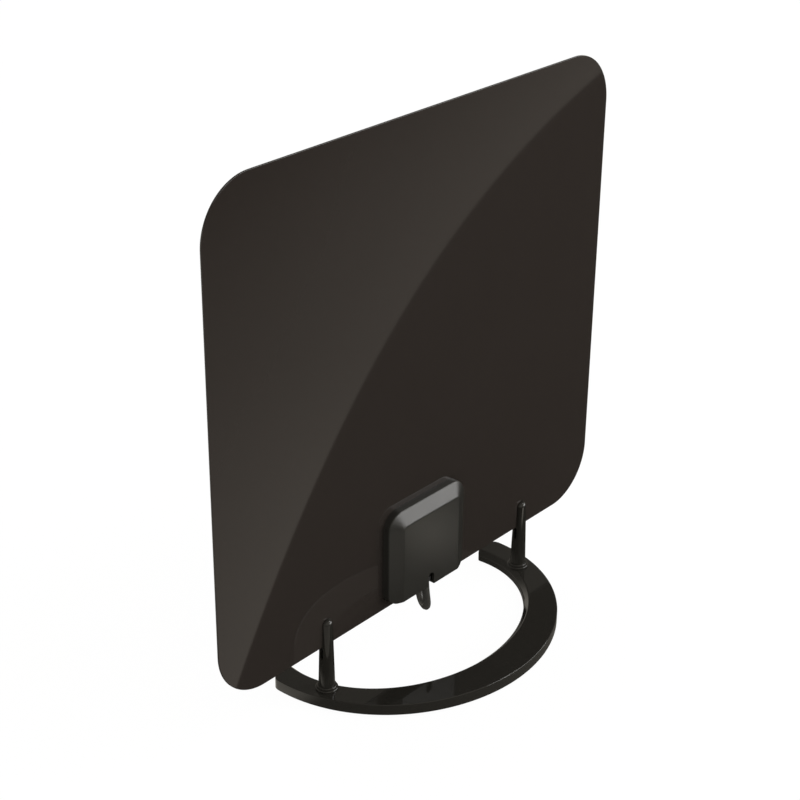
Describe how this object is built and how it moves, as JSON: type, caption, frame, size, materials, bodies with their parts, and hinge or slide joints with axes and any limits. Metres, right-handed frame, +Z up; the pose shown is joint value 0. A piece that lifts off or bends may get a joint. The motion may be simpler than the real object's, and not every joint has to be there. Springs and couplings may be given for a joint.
{
  "type": "flat indoor television antenna",
  "caption": "Thin flat indoor television antenna with a bevelled junction box, standing in slotted posts on a C-shaped foot, with a thin coaxial lead and a screw-on plug.",
  "frame": {"origin": "centre of the object's plan on the table, under the middle of the panel's width and midway between the foot's front and its open ends", "axes": "+Z up, -Y the panel's front with the junction box, X along the panel's width"},
  "size_m": [0.279, 0.1832, 0.2827],
  "materials": {
    "panel_gloss": "gloss",
    "panel_rear": "satin",
    "box_satin": "satin",
    "stand_gloss": "gloss",
    "foot_rubber": "matte",
    "screw_steel": "satin",
    "cable_jacket": "satin",
    "tie_plastic": "satin",
    "plug_nickel": "polished",
    "dielectric": "matte",
    "copper": "bright",
    "foil": "bright",
    "board": "satin",
    "contact_brass": "bright",
    "ferrite": "matte",
    "chip": "matte"
  },
  "bodies": {
    "stand": {"base_ring": "stand_gloss", "rubber_feet": "foot_rubber", "left_post": "stand_gloss", "right_post": "stand_gloss", "post_screws": "screw_steel", "loose_cable": "cable_jacket", "cable_coil": "cable_jacket", "coil_tie": "tie_plastic", "cable_tail": "cable_jacket", "plug_sleeve": "plug_nickel", "plug_body": "plug_nickel", "plug_dielectric": "dielectric", "plug_pin": "copper"},
    "antenna": {"front_sheet": "panel_gloss", "rear_sheet": "panel_rear", "left_radiator": "foil", "right_radiator": "foil", "box_cover": "box_satin", "box_rear_plate": "box_satin", "box_screws": "screw_steel", "circuit_board": "board", "feed_contacts": "contact_brass", "balun_core": "ferrite", "balun_winding": "copper", "chip_capacitors": "chip", "cable_lead": "cable_jacket", "crimp_ring": "tie_plastic", "cable_core": "copper"},
    "nut": {"plug_nut": "plug_nickel"}
  },
  "joints": [
    {"name": "panel_lift", "type": "slide", "parent": "stand", "child": "antenna", "axis": [0, 0, 1], "range_m": [0, 0.03], "deforming": ["loose_cable"]},
    {"name": "nut_spin", "type": "hinge", "parent": "stand", "child": "nut", "pos_m": [0.08547, 0.0902, 0.00555], "axis": [0.5, -0.866, 0], "continuous": true}
  ]
}
